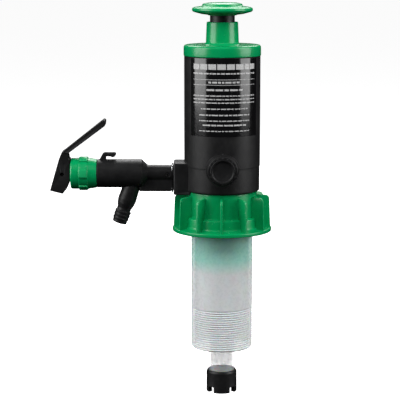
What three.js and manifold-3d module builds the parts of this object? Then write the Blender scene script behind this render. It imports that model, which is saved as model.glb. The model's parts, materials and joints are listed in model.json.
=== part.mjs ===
// Hand-operated pressure pump for a drum: a plunger air pump on top, a lever tap on one side, a finned
// union nut, and a threaded extension that screws into the drum's two-inch bung.
// Millimetres, +Z up. The origin is the centre of the extension's lower end face, and the tap points to -X.

import * as THREE from "three";
import { mergeVertices } from "three/addons/utils/BufferGeometryUtils.js";
import Module from "manifold-3d";

const wasm = await Module();
wasm.setup();

// ---- Driving dimensions -------------------------------------------------------------------------

const GAP = 0.3; // clearance kept between two pieces that touch
const FACETS = 48; // sides of a large round piece
const INNER_FACETS = 32; // sides of one inside the pump
const SMALL_FACETS = 20; // sides of a small round piece

const BODY_R = 37; // outer radius of the pump body
const BODY_WALL = 3.5;
const BODY_BOTTOM = 157.4;
const BODY_TOP = 288.3;
const PARTING_Z = 181.5; // mould line of the body, through the centre of the front port
const LOWER_BODY_R = BODY_R - 0.4;
const FLOOR_TOP = BODY_BOTTOM + 5.6;

const BUNG_R = 30.15; // outer radius of two-inch pipe thread
const EXTENSION_BORE_R = 26.5;
const EXTENSION_TOP = 134;
const THREAD_LENGTH = 42;

const NUT_BOTTOM = 117.3;
const NUT_TOP = 156.6;
const NUT_FLANGE_R = 48.6;
const NUT_BAND_R = 38.4; // raised band between the fins
const NUT_FINS = 12;

const SPIGOT_R = 31.9; // threaded spigot under the body, and the extension's bead
const SPIGOT_BOTTOM = 137;

const SLEEVE_R = 25.5; // riser sleeve around the air cylinder
const SLEEVE_BORE_R = 24;
const CYLINDER_R = 19;
const CYLINDER_BORE_R = 17;
const MANIFOLD_BOTTOM = 73;
const MANIFOLD_SPLIT = MANIFOLD_BOTTOM + 7; // joint between its base and the valve plate
const MANIFOLD_TOP = MANIFOLD_BOTTOM + 19;

const CAP_R = 37.5;
const CAP_TOP = 299.2;
const COLLAR_TOP = 321;
const COLLAR_R = 15.2; // at its top
const ROD_R = 12;
const KNOB_R = 29.5;
const KNOB_BOTTOM = 327.3;
const PISTON_BOTTOM = 108;

const SIPHON_R = 12.5;
const SIPHON_BORE_R = 10.6;
const SIPHON_BOTTOM = -46;

const PORT_R = 14.4; // front port boss
const PORT_FACE = 47; // distance of the boss's rim from the pump's axis

const BLOCK_FACE_X = -47.3; // face of the outlet block that the tap meets
const BLOCK_Z = 169.6;
const BLOCK_HALF = 15.6;
const OUTLET_R = 6.7; // bore that the outlet spigot sits in

const TAP_Z = 173.4; // axis of the tap
const TAP_BORE_R = 10;
const BARREL_R = 13.9;
const BARREL_LEFT = -122.5;
const BARREL_RIGHT = -77.5;
const SHANK_R = 8.4;
const TAP_NUT_LEFT = -148;
const SCREW_X = -53.1; // headless screw in the front of the shank
const SCREW_Z = 172.9;
const CLIP_X = -48.6; // plane of the wire clip around the shank
const CLIP_BOTTOM = 156.8;
const CLIP_TOP = TAP_Z + 8.6;
const WIRE_R = 0.8; // of the clip and the spring
const SPOUT_X = -84.3; // where the spout's axis meets the tap's

const STEM_R = 3.5;
const LEVER_WIDTH = 18;
const PIVOT_X = -156.3;
const PIN_R = 1.7; // turns with the lever, in the tongue of the stem
const SPOUT_TILT = THREE.MathUtils.degToRad(19); // from straight down, towards the lever

const LABEL_FROM = THREE.MathUtils.degToRad(-54);
const LABEL_TO = THREE.MathUtils.degToRad(60);
const LABEL_BOTTOM = 213.5;
const LABEL_TOP = 287.8;

// ---- Materials ----------------------------------------------------------------------------------

const green = new THREE.MeshStandardMaterial({ color: 0x02914a, roughness: 0.35, metalness: 0 });
const black = new THREE.MeshStandardMaterial({ color: 0x1c1c1d, roughness: 0.45, metalness: 0 });
const natural = new THREE.MeshStandardMaterial({ color: 0xd5dada, roughness: 0.5, metalness: 0 });
const rubber = new THREE.MeshStandardMaterial({ color: 0x101010, roughness: 0.8, metalness: 0 });
const steel = new THREE.MeshStandardMaterial({ color: 0xb9bcbf, roughness: 0.25, metalness: 1 });
const film = new THREE.MeshStandardMaterial({ color: 0x0c0c0d, roughness: 0.12, metalness: 0 });

// ---- Solid helpers ------------------------------------------------------------------------------

// A closed BufferGeometry as a manifold-3d solid with its faces pointing out.
function solidOf(geometry) {
  const bare = geometry.index ? geometry.toNonIndexed() : geometry.clone();
  for (const name of Object.keys(bare.attributes)) {
    if (name !== "position") bare.deleteAttribute(name);
  }
  const merged = mergeVertices(bare, 1e-3);
  const vertProperties = merged.attributes.position.array;
  const triVerts = new Uint32Array(merged.index.array);
  const made = new wasm.Manifold(new wasm.Mesh({ numProp: 3, vertProperties, triVerts }));
  if (made.volume() > 0) return made;
  return new wasm.Manifold(
    new wasm.Mesh({ numProp: 3, vertProperties, triVerts: triVerts.slice().reverse() }),
  );
}

function geometryOf(solid) {
  const mesh = solid.getMesh();
  const positions = new Float32Array(mesh.numVert * 3);
  for (let i = 0; i < mesh.numVert; i++) {
    positions.set(mesh.vertProperties.subarray(i * mesh.numProp, i * mesh.numProp + 3), i * 3);
  }
  const geometry = new THREE.BufferGeometry();
  geometry.setAttribute("position", new THREE.BufferAttribute(positions, 3));
  geometry.setIndex(new THREE.BufferAttribute(mesh.triVerts, 1));
  geometry.computeVertexNormals();
  return geometry;
}

// Closes a profile of [radius, height] points unless both its ends are on the axis.
function closed(profile) {
  const first = profile[0];
  const last = profile[profile.length - 1];
  const onAxis = first[0] === 0 && last[0] === 0;
  const points = onAxis ? profile : [...profile, first];
  return points.map(([r, h]) => new THREE.Vector2(r, h));
}

// A profile of [radius, z] points turned about Z.
function turned(profile, facets = FACETS) {
  return solidOf(new THREE.LatheGeometry(closed(profile), facets).rotateX(Math.PI / 2));
}

// A profile of [radius, x] points turned about the X direction, at height z.
function turnedAlongX(profile, z, facets = SMALL_FACETS) {
  const lathe = new THREE.LatheGeometry(closed(profile), facets).rotateZ(-Math.PI / 2);
  return solidOf(lathe.translate(0, 0, z));
}

// A profile of [radius, distance] points turned about -Y, at height z: distance grows towards the front.
function turnedToFront(profile, z, facets = SMALL_FACETS) {
  const lathe = new THREE.LatheGeometry(closed(profile), facets).rotateX(Math.PI);
  return solidOf(lathe.translate(0, 0, z));
}

// A plain tube or rod between two heights.
function tube(outer, inner, low, high) {
  return inner > 0 ? [[inner, low], [outer, low], [outer, high], [inner, high]]
    : [[0, low], [outer, low], [outer, high], [0, high]];
}

// The six-sided section of an O-ring, as a profile.
function ringSection(radius, height, half) {
  const points = [];
  for (let i = 0; i < 6; i++) {
    const a = i * (Math.PI / 3);
    points.push([radius + half * Math.cos(a), height + half * Math.sin(a)]);
  }
  return points;
}

// An outline in the XZ plane, pulled out to a width centred on Y = 0.
function plate(outline, width, y = 0) {
  const shape = outline instanceof THREE.Shape ? outline
    : new THREE.Shape(outline.map(([x, z]) => new THREE.Vector2(x, z)));
  const pulled = new THREE.ExtrudeGeometry(shape, { depth: width, bevelEnabled: false, curveSegments: 8 });
  return solidOf(pulled.rotateX(Math.PI / 2).translate(0, y + width / 2, 0));
}

function box(x0, x1, y0, y1, z0, z1) {
  const made = new THREE.BoxGeometry(x1 - x0, y1 - y0, z1 - z0);
  return solidOf(made.translate((x0 + x1) / 2, (y0 + y1) / 2, (z0 + z1) / 2));
}

// A round pin or hole along Y.
function pinAlongY(radius, x, z, y0, y1, facets = 16) {
  const made = new THREE.CylinderGeometry(radius, radius, y1 - y0, facets);
  return solidOf(made.translate(x, (y0 + y1) / 2, z));
}

// A round pin or hole along Z.
function pinAlongZ(radius, x, y, z0, z1, facets = 16) {
  const made = new THREE.CylinderGeometry(radius, radius, z1 - z0, facets).rotateX(Math.PI / 2);
  return solidOf(made.translate(x, y, (z0 + z1) / 2));
}

const pump = new THREE.Group();

function addPiece(name, solid, material) {
  const mesh = new THREE.Mesh(geometryOf(solid), material);
  mesh.name = name;
  pump.add(mesh);
}

// ---- Pump body ----------------------------------------------------------------------------------

// The label's space: a slice of a ring, open to the body's top, between the label's two side edges.
function labelSector(inner, outer, low, high, margin) {
  const from = LABEL_FROM - margin - Math.PI / 2;
  const to = LABEL_TO + margin - Math.PI / 2;
  const shape = new THREE.Shape();
  shape.absarc(0, 0, outer, from, to, false);
  shape.absarc(0, 0, inner, to, from, true);
  const options = { depth: high - low, bevelEnabled: false, curveSegments: 20 };
  const pulled = new THREE.ExtrudeGeometry(shape, options);
  return solidOf(pulled.translate(0, 0, low));
}

// The square block that carries the outlet, with chamfered corners towards the tap.
function outletBlock() {
  const chamfer = 2;
  const half = BLOCK_HALF - chamfer;
  const shape = new THREE.Shape([
    new THREE.Vector2(-half, -half),
    new THREE.Vector2(half, -half),
    new THREE.Vector2(half, half),
    new THREE.Vector2(-half, half),
  ]);
  const length = -BLOCK_FACE_X - 28;
  const pulled = new THREE.ExtrudeGeometry(shape, {
    depth: length - chamfer * 2,
    bevelThickness: chamfer,
    bevelSize: chamfer,
    bevelSegments: 1,
  });
  pulled.rotateY(Math.PI / 2).translate(BLOCK_FACE_X + chamfer, 0, BLOCK_Z);
  return solidOf(pulled).subtract(turned(tube(SPIGOT_R + 3, 0, 140, BODY_BOTTOM)));
}

function pumpBody() {
  const inner = BODY_R - BODY_WALL;
  const shell = turned([
    [SLEEVE_R + 0.6, SPIGOT_BOTTOM],
    [SPIGOT_R, SPIGOT_BOTTOM],
    [SPIGOT_R, BODY_BOTTOM],
    [LOWER_BODY_R - 1, BODY_BOTTOM],
    [LOWER_BODY_R, BODY_BOTTOM + 1],
    [LOWER_BODY_R, PARTING_Z],
    [BODY_R, PARTING_Z],
    [BODY_R, BODY_TOP],
    [inner, BODY_TOP],
    [inner, FLOOR_TOP],
    [SLEEVE_R + 0.6, FLOOR_TOP],
  ]);
  const boss = turnedToFront([
    [0, 30],
    [PORT_R + 1.2, 30],
    [PORT_R + 1, 36],
    [PORT_R, 41],
    [PORT_R, PORT_FACE - 1],
    [PORT_R - 1, PORT_FACE],
    [0, PORT_FACE],
  ], PARTING_Z, 32);
  const portBore = turnedToFront([
    [0, 20],
    [9.5, 20],
    [9.5, 40.2],
    [12.4, 40.2],
    [12.4, 50],
    [0, 50],
  ], PARTING_Z, 32);
  const outletBore = turnedAlongX(tube(OUTLET_R, 0, BLOCK_FACE_X - 1, -20), TAP_Z);
  const cavity = turned(tube(inner, 0, FLOOR_TOP, BODY_TOP));
  const recess = labelSector(BODY_R - 0.4, BODY_R + 2, LABEL_BOTTOM - 0.4, BODY_TOP + 1, 0.01);
  const bosses = boss.add(outletBlock()).subtract(cavity);
  return shell.add(bosses).subtract(portBore).subtract(outletBore).subtract(recess);
}

function labelPlate() {
  return labelSector(BODY_R - 0.1, BODY_R + 0.25, LABEL_BOTTOM, LABEL_TOP, 0);
}

// The blind plug in the front port: a dished head on a short shank.
function portPlug() {
  return turnedToFront([
    [0, 32],
    [9.1, 32],
    [9.1, 42.5],
    [12, 42.5],
    [12, PORT_FACE + 1.2],
    [10.8, PORT_FACE + 2.4],
    [9.6, PORT_FACE + 2.4],
    [8.8, PORT_FACE + 1.2],
    [0, PORT_FACE + 0.6],
  ], PARTING_Z, 32);
}

// ---- Top cap and plunger ------------------------------------------------------------------------

// Its flange is trapped between the cap and the top of the air cylinder.
function rodBush() {
  return turned([
    [ROD_R + 0.35, 289.9],
    [18.8, 289.9],
    [18.8, 291.3],
    [13.7, 291.3],
    [13.7, 314.5],
    [ROD_R + 0.35, 314.5],
  ], INNER_FACETS);
}

function topCap() {
  const skirtBottom = BODY_TOP + GAP;
  const inner = BODY_R - BODY_WALL - GAP;
  const cap = turned([
    [CYLINDER_R + GAP, 279],
    [CYLINDER_R + 3.4, 279],
    [CYLINDER_R + 3.4, skirtBottom],
    [30.2, skirtBottom],
    [30.2, 277],
    [inner, 277],
    [inner, 280.4],
    [30.8, 280.4],
    [30.8, 283.2],
    [inner, 283.2],
    [inner, skirtBottom],
    [CAP_R, skirtBottom],
    [CAP_R, CAP_TOP - 2.8],
    [CAP_R - 0.8, CAP_TOP - 0.9],
    [CAP_R - 2.8, CAP_TOP],
    [COLLAR_R + 1.8, CAP_TOP + 0.6],
    [COLLAR_R + 0.8, CAP_TOP + 2],
    [COLLAR_R, COLLAR_TOP - 0.8],
    [COLLAR_R - 0.8, COLLAR_TOP],
    [ROD_R + 0.5, COLLAR_TOP],
    [ROD_R + 0.5, COLLAR_TOP - 2],
    [14, COLLAR_TOP - 2],
    [14, 291.6],
    [CYLINDER_R + GAP, 291.6],
  ]);
  // Four blind sockets for a pin spanner.
  let drilled = cap;
  for (let i = 0; i < 4; i++) {
    const a = Math.PI / 4 + (i * Math.PI) / 2;
    const socket = pinAlongZ(2.2, 31 * Math.cos(a), 31 * Math.sin(a), CAP_TOP - 3.5, CAP_TOP + 2, 12);
    drilled = drilled.subtract(socket);
  }
  return drilled;
}

function plungerKnob() {
  return turned([
    [0, KNOB_BOTTOM + 7.2],
    [ROD_R + 0.3, KNOB_BOTTOM + 7.2],
    [ROD_R + 0.3, KNOB_BOTTOM],
    [ROD_R + 1.6, KNOB_BOTTOM],
    [ROD_R + 2.2, KNOB_BOTTOM + 0.5],
    [KNOB_R - 9, KNOB_BOTTOM + 1.2],
    [KNOB_R - 1, KNOB_BOTTOM + 3.4],
    [KNOB_R, KNOB_BOTTOM + 4.8],
    [KNOB_R - 0.3, KNOB_BOTTOM + 6.8],
    [KNOB_R - 2, KNOB_BOTTOM + 7.8],
    [20.5, KNOB_BOTTOM + 8.8],
    [19.6, KNOB_BOTTOM + 9.2],
    [19.2, KNOB_BOTTOM + 10.6],
    [17.5, KNOB_BOTTOM + 11.3],
    [9, KNOB_BOTTOM + 12.3],
    [0, KNOB_BOTTOM + 12.6],
  ]);
}

function plungerRod() {
  return turned(tube(ROD_R, 9.4, PISTON_BOTTOM + 12.6, KNOB_BOTTOM + 6.9), INNER_FACETS);
}

// The piston's plug goes up into the hollow end of the rod, and its lower half carries the cup seal.
function pistonHead() {
  return turned([
    [3, PISTON_BOTTOM],
    [15.6, PISTON_BOTTOM],
    [15.6, PISTON_BOTTOM + 2.4],
    [12.6, PISTON_BOTTOM + 2.4],
    [12.6, PISTON_BOTTOM + 9.4],
    [16.2, PISTON_BOTTOM + 9.4],
    [16.2, PISTON_BOTTOM + 12.2],
    [9.1, PISTON_BOTTOM + 12.2],
    [9.1, PISTON_BOTTOM + 22],
    [3, PISTON_BOTTOM + 22],
  ], INNER_FACETS);
}

function pistonCup() {
  const low = PISTON_BOTTOM + 2.7;
  return turned([
    [13, low],
    [16.6, low],
    [16.75, low + 1],
    [16, low + 1.6],
    [14.6, low + 3],
    [14.6, low + 6.4],
    [13, low + 6.4],
  ], INNER_FACETS);
}

function pistonBolt() {
  return turned([
    [0, PISTON_BOTTOM - 4.2],
    [5.4, PISTON_BOTTOM - 4.2],
    [5.4, PISTON_BOTTOM - 0.3],
    [2.7, PISTON_BOTTOM - 0.3],
    [2.7, PISTON_BOTTOM + 21.5],
    [0, PISTON_BOTTOM + 21.5],
  ], SMALL_FACETS);
}

// ---- Riser, air cylinder and siphon -------------------------------------------------------------

// The sleeve hangs by its flange from the body's floor, and carries liquid up around the air cylinder.
function riserSleeve() {
  return turned([
    [SLEEVE_BORE_R, MANIFOLD_BOTTOM + 7.3],
    [SLEEVE_R, MANIFOLD_BOTTOM + 7.3],
    [SLEEVE_R, FLOOR_TOP + GAP],
    [33.2, FLOOR_TOP + GAP],
    [33.2, FLOOR_TOP + 1.2],
    [31, FLOOR_TOP + 1.2],
    [31, FLOOR_TOP + 3.2],
    [33.2, FLOOR_TOP + 3.2],
    [33.2, FLOOR_TOP + 4],
    [SLEEVE_BORE_R, FLOOR_TOP + 4],
  ], INNER_FACETS);
}

// Liquid comes in at the bottom spigot and leaves by four ducts to the sleeve. Air from the cylinder passes
// the valve in the middle, goes down two short shafts, and leaves into the drum by a side vent from each.
// It is moulded as a base and, from MANIFOLD_SPLIT up, a plate that closes the base and seats the valve.
function manifold() {
  const spigotBottom = MANIFOLD_BOTTOM - 15;
  const ductR = 1.9;
  const ductRing = 21.4; // distance of the four upright ducts from the axis
  const ventR = 1.5;
  const shaftX = 10.2; // distance of the two air shafts from the axis
  const airHoleRing = 6.5;
  let made = turned([
    [0, spigotBottom],
    [SIPHON_BORE_R - GAP, spigotBottom],
    [SIPHON_BORE_R - GAP, MANIFOLD_BOTTOM - 2],
    [SIPHON_R + 1.5, MANIFOLD_BOTTOM - 2],
    [SIPHON_R + 3, MANIFOLD_BOTTOM],
    [SLEEVE_R - 1.5, MANIFOLD_BOTTOM],
    [SLEEVE_R, MANIFOLD_BOTTOM + 1.5],
    [SLEEVE_R, MANIFOLD_BOTTOM + 7],
    [SLEEVE_BORE_R - GAP, MANIFOLD_BOTTOM + 7],
    [SLEEVE_BORE_R - GAP, MANIFOLD_TOP],
    [CYLINDER_BORE_R - GAP, MANIFOLD_TOP],
    [CYLINDER_BORE_R - GAP, MANIFOLD_TOP + 4],
    [0, MANIFOLD_TOP + 4],
  ], INNER_FACETS);
  made = made.subtract(pinAlongZ(7.6, 0, 0, spigotBottom - 1, MANIFOLD_SPLIT));
  const plenum = turned(tube(11, 0, MANIFOLD_SPLIT + 2.5, MANIFOLD_TOP + 1), 16);
  made = made.subtract(plenum);
  for (let i = 0; i < 4; i++) {
    const a = Math.PI / 4 + (i * Math.PI) / 2;
    const x = ductRing * Math.cos(a);
    const y = ductRing * Math.sin(a);
    made = made.subtract(pinAlongZ(ductR, x, y, MANIFOLD_BOTTOM + 2.4, MANIFOLD_TOP + 1, 8));
    const cross = new THREE.CylinderGeometry(ductR, ductR, 17, 8).rotateZ(Math.PI / 2);
    cross.translate(14.4, 0, 0).rotateZ(a).translate(0, 0, MANIFOLD_BOTTOM + 3.6);
    made = made.subtract(solidOf(cross));
  }
  for (const side of [-1, 1]) {
    const vent = new THREE.CylinderGeometry(ventR, ventR, 20, 8).rotateZ(Math.PI / 2);
    made = made.subtract(solidOf(vent.translate(side * 19, 0, MANIFOLD_BOTTOM + 3.8)));
    const shaft = pinAlongZ(ventR, side * shaftX, 0, MANIFOLD_BOTTOM + 3, MANIFOLD_SPLIT + 3.5, 8);
    made = made.subtract(shaft);
  }
  for (let i = 0; i < 6; i++) {
    const a = (i * Math.PI) / 3;
    const x = airHoleRing * Math.cos(a);
    const y = airHoleRing * Math.sin(a);
    made = made.subtract(pinAlongZ(ventR, x, y, MANIFOLD_TOP - 2, MANIFOLD_TOP + 5, 8));
  }
  return made.subtract(pinAlongZ(2, 0, 0, MANIFOLD_TOP - 2, MANIFOLD_TOP + 5, 8));
}

function footManifold() {
  return manifold().intersect(box(-40, 40, -40, 40, MANIFOLD_BOTTOM - 20, MANIFOLD_SPLIT));
}

function valvePlate() {
  return manifold().intersect(box(-40, 40, -40, 40, MANIFOLD_SPLIT + GAP, MANIFOLD_TOP + 10));
}

// An umbrella valve: its button is pulled through the centre hole and its skirt covers the air holes.
function airCheckValve() {
  return turned([
    [0, MANIFOLD_TOP - 1.6],
    [4, MANIFOLD_TOP - 1.2],
    [9.4, MANIFOLD_TOP - 0.2],
    [9.6, MANIFOLD_TOP + 0.6],
    [1.7, MANIFOLD_TOP + 0.6],
    [1.7, MANIFOLD_TOP + 4.3],
    [3, MANIFOLD_TOP + 4.3],
    [2, MANIFOLD_TOP + 6],
    [0, MANIFOLD_TOP + 6],
  ], 16);
}

// A push-on foot with four notches, so that the siphon still draws when it stands on the drum's floor.
function siphonFoot() {
  const high = SIPHON_BOTTOM + 22;
  let made = turned([
    [SIPHON_BORE_R, SIPHON_BOTTOM],
    [SIPHON_R + 2.6, SIPHON_BOTTOM],
    [SIPHON_R + 2.6, high - 2],
    [SIPHON_R + 1.6, high],
    [SIPHON_R + GAP, high],
    [SIPHON_R + GAP, SIPHON_BOTTOM + 12],
    [SIPHON_BORE_R, SIPHON_BOTTOM + 12],
  ], 24);
  for (let i = 0; i < 2; i++) {
    const notch = box(-20, 20, -3.5, 3.5, SIPHON_BOTTOM - 1, SIPHON_BOTTOM + 6);
    made = made.subtract(notch.rotate([0, 0, 45 + 90 * i]));
  }
  return made;
}

// ---- Extension and union nut --------------------------------------------------------------------

// The extension's foot is turned to the middle of its thread, and its bead is clamped under the body.
function threadedExtension() {
  return turned([
    [EXTENSION_BORE_R, 0],
    [BUNG_R - 1.4, 0],
    [BUNG_R - 0.5, 2],
    [BUNG_R - 0.5, THREAD_LENGTH],
    [BUNG_R, THREAD_LENGTH + 1],
    [BUNG_R, EXTENSION_TOP - 5.7],
    [SPIGOT_R, EXTENSION_TOP - 5.7],
    [SPIGOT_R, EXTENSION_TOP],
    [EXTENSION_BORE_R, EXTENSION_TOP],
  ]);
}

function nutFin(angle) {
  const low = NUT_BOTTOM + 2;
  const high = 152;
  const outerLow = NUT_FLANGE_R - 0.9;
  const outerHigh = NUT_FLANGE_R - 2.2;
  const round = 4;
  const shape = new THREE.Shape();
  shape.moveTo(33, low);
  shape.lineTo(outerLow, low);
  shape.lineTo(outerHigh, high - round);
  shape.quadraticCurveTo(outerHigh - 0.2, high, outerHigh - round, high);
  shape.lineTo(33, high + 1.2);
  return plate(shape, 2.2).rotate([0, 0, angle]);
}

function unionNut() {
  const bore = SPIGOT_R + GAP;
  let made = turned([
    [BUNG_R + 0.35, NUT_BOTTOM],
    [NUT_FLANGE_R - 0.6, NUT_BOTTOM],
    [NUT_FLANGE_R, NUT_BOTTOM + 0.7],
    [NUT_FLANGE_R, NUT_BOTTOM + 2.8],
    [NUT_FLANGE_R - 0.8, NUT_BOTTOM + 3.6],
    [NUT_BAND_R + 1, NUT_BOTTOM + 4],
    [NUT_BAND_R, NUT_BOTTOM + 5],
    [NUT_BAND_R - 0.4, 130.8],
    [NUT_BAND_R - 1.4, 131.8],
    [34.2, 132.2],
    [34.2, NUT_TOP],
    [bore, NUT_TOP],
    [bore, EXTENSION_TOP - 6],
    [BUNG_R + 0.35, EXTENSION_TOP - 6],
  ]);
  const hollow = turned(tube(bore + 0.8, 0, NUT_BOTTOM, NUT_TOP + 5));
  for (let i = 0; i < NUT_FINS; i++) {
    made = made.add(nutFin((i * 360) / NUT_FINS - 91.5).subtract(hollow));
  }
  return made;
}

// ---- Tap ----------------------------------------------------------------------------------------

// A piece turned about the spout's own axis: distance 0 is on the tap's axis and grows down the spout.
function turnedOnSpout(profile, facets = SMALL_FACETS) {
  const lathe = new THREE.LatheGeometry(closed(profile), facets).rotateX(-Math.PI / 2);
  return solidOf(lathe.rotateY(SPOUT_TILT).translate(SPOUT_X, 0, TAP_Z));
}

function tapSpout() {
  return turnedOnSpout([
    [0, 4],
    [8.2, 4],
    [8.4, 20],
    [9, 27],
    [8.4, 31.5],
    [6.9, 36.4],
    [6.9, 39],
    [7.8, 39.6],
    [7.4, 43],
    [7.8, 43.4],
    [7.2, 47],
    [7.6, 47.4],
    [6.8, 51.6],
    [0, 51.6],
  ]);
}

// A short tube that joins the tap to the body, with a groove for an O-ring near each end.
function outletSpigot() {
  return turnedAlongX([
    [4.6, -66],
    [6.3, -66],
    [6.3, -62.9],
    [5.6, -62.9],
    [5.6, -61.1],
    [6.3, -61.1],
    [6.3, -41.9],
    [5.6, -41.9],
    [5.6, -40.1],
    [6.3, -40.1],
    [6.3, -36],
    [4.6, -36],
  ], TAP_Z, 16);
}

// A headless screw in the shank's front, with a hexagon socket.
function shankScrew() {
  return pinAlongY(1.7, SCREW_X, SCREW_Z, -8.1, -6.7).subtract(pinAlongY(0.9, SCREW_X, SCREW_Z, -9, -7.3, 6));
}

// The hook moulded on top of the barrel.
function hangHook() {
  return plate([
    [-120.6, TAP_Z + 12],
    [-116.6, 193.2],
    [-115, 194.1],
    [-104.4, 194.1],
    [-103.4, 192.6],
    [-104.8, 190.4],
    [-107, 189.3],
    [-108.6, 190.3],
    [-113.2, 190.5],
    [-113.6, TAP_Z + 12],
  ], 7);
}

function tapBody() {
  const outside = turnedAlongX([
    [0, -140],
    [11.6, -140],
    [11.6, BARREL_LEFT + GAP],
    [BARREL_R, BARREL_LEFT + GAP],
    [BARREL_R, BARREL_RIGHT - 1],
    [BARREL_R - 0.8, BARREL_RIGHT],
    [SHANK_R, -73],
    [SHANK_R, BLOCK_FACE_X - GAP],
    [0, BLOCK_FACE_X - GAP],
  ], TAP_Z, 28);
  const web = box(-82, BLOCK_FACE_X - GAP, -6.5, 6.5, 156.2, TAP_Z);
  const bore = turnedAlongX([
    [0, -141],
    [TAP_BORE_R, -141],
    [TAP_BORE_R, -80],
    [5, -78.6],
    [5, -68],
    [OUTLET_R, -68],
    [OUTLET_R, BLOCK_FACE_X + 1],
    [0, BLOCK_FACE_X + 1],
  ], TAP_Z);
  const spoutBore = turnedOnSpout([[0, 6], [5, 6], [5, 60], [0, 60]], 16);
  const screwHole = pinAlongY(2.1, SCREW_X, SCREW_Z, -12, -5);
  const hook = hangHook().subtract(turnedAlongX(tube(11, 0, -130, -100), TAP_Z));
  return outside.add(web).add(tapSpout()).add(hook).subtract(bore).subtract(spoutBore).subtract(screwHole)
    .subtract(clipGroove());
}

// Two shallow grooves across the shank that the clip's legs sit in.
function clipGroove() {
  const from = CLIP_X - 1.4;
  const to = CLIP_X + 1.4;
  const above = box(from, to, -20, 20, CLIP_TOP - 1.2, CLIP_TOP + 4);
  const below = box(from, to, -20, 20, CLIP_BOTTOM - 7, CLIP_BOTTOM + 1.2);
  return above.add(below);
}

// A wire clip around the shank: two legs point to the front, and their tips turn in towards each other.
function retainingClip() {
  const x = CLIP_X;
  const top = CLIP_TOP;
  const bottom = CLIP_BOTTOM;
  const back = 11;
  const route = new THREE.CurvePath();
  const front = -11;
  const tip = 4.2;
  const corners = [
    [front, top - tip], [front, top], [back, top], [back, bottom], [front, bottom], [front, bottom + tip],
  ].map(([y, z]) => new THREE.Vector3(x, y, z));
  let from = corners[0];
  for (let i = 1; i < corners.length - 1; i++) {
    const before = corners[i].clone().sub(corners[i - 1]).setLength(3);
    const after = corners[i + 1].clone().sub(corners[i]).setLength(3);
    const bendStart = corners[i].clone().sub(before);
    const bendEnd = corners[i].clone().add(after);
    route.add(new THREE.LineCurve3(from, bendStart));
    route.add(new THREE.QuadraticBezierCurve3(bendStart, corners[i], bendEnd));
    from = bendEnd;
  }
  route.add(new THREE.LineCurve3(from, corners[corners.length - 1]));
  const section = new THREE.Shape();
  section.absarc(0, 0, WIRE_R, 0, Math.PI * 2, false);
  return solidOf(new THREE.ExtrudeGeometry(section, { steps: 44, curveSegments: 3, extrudePath: route }));
}

function tapNut() {
  let made = turnedAlongX([
    [STEM_R + 0.6, TAP_NUT_LEFT],
    [14.2, TAP_NUT_LEFT],
    [15.2, TAP_NUT_LEFT + 1],
    [15.4, -139.6],
    [15.9, -138.8],
    [15.9, -132],
    [15.4, -131.2],
    [14, BARREL_LEFT],
    [11.9, BARREL_LEFT],
    [11.9, -140.4],
    [STEM_R + 0.6, -140.4],
  ], TAP_Z, 28);
  // Low grip pads around the widest band.
  for (let i = 0; i < 6; i++) {
    const pad = box(-139.4, -131.6, -4.2, 4.2, 14.6, 16.8);
    made = made.add(pad.rotate([60 * i + 24, 0, 0]).translate([0, 0, TAP_Z]));
  }
  return made;
}

// The spring pushes the stem's collar towards the seat.
function tapSpring() {
  const from = -139.2;
  const to = -113;
  const turns = 5;
  const mean = 7.2;
  class Helix extends THREE.Curve {
    getPoint(t, target = new THREE.Vector3()) {
      const a = t * turns * Math.PI * 2;
      return target.set(from + (to - from) * t, mean * Math.cos(a), TAP_Z + mean * Math.sin(a));
    }
  }
  const section = new THREE.Shape();
  section.absarc(0, 0, WIRE_R, 0, Math.PI * 2, false);
  return solidOf(
    new THREE.ExtrudeGeometry(section, { steps: turns * 10, curveSegments: 2, extrudePath: new Helix() }),
  );
}

// From the flattened tongue that the lever straddles to the disc that closes the seat.
function valveStem() {
  const stem = turnedAlongX([
    [0, PIVOT_X - 3.6],
    [STEM_R, PIVOT_X - 3],
    [STEM_R, -111.6],
    [9.6, -111.6],
    [9.6, -108.6],
    [7.9, -108.6],
    [7.9, -105.4],
    [9.6, -105.4],
    [9.6, -102.8],
    [STEM_R, -101.8],
    [STEM_R, -86.4],
    [6, -86],
    [6, -84.6],
    [2, -84.6],
    [2, -80.1],
    [3.2, -79.7],
    [3, -78.6],
    [0, -78],
  ], TAP_Z);
  const cheeks = box(-170, -147, 2.4, 8, TAP_Z - 8, TAP_Z + 8).add(
    box(-170, -147, -8, -2.4, TAP_Z - 8, TAP_Z + 8),
  );
  const pinHole = pinAlongY(PIN_R + 0.08, PIVOT_X, TAP_Z, -10, 10, 24);
  return stem.subtract(cheeks).subtract(pinHole);
}

// ---- Lever --------------------------------------------------------------------------------------

function lever() {
  const head = [
    [-154, 196.4],
    [-150.4, 193.2],
    [-149.6, 188.6],
    [-148.6, 187.8],
    [-148.6, 168.6],
    [-149.8, 164.2],
    [-152.1, 158.7],
    [-155.8, 154.3],
    [-168.2, 157.4],
    [-159, 188.4],
    [-156.1, 195.2],
  ];
  const handle = [
    [-154.4, 196],
    [-115.2, 226.8],
    [-113.4, 225.2],
    [-113.9, 220.9],
    [-149.6, 194.2],
  ];
  const slot = box(-161.8, -140, -2.8, 2.8, TAP_Z - 8.5, TAP_Z + 15);
  const hole = pinAlongY(PIN_R + GAP, PIVOT_X, TAP_Z, -20, 20);
  return plate(head, LEVER_WIDTH).add(plate(handle, LEVER_WIDTH + 2)).subtract(slot).subtract(hole);
}

// ---- The assembly -------------------------------------------------------------------------------

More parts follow.
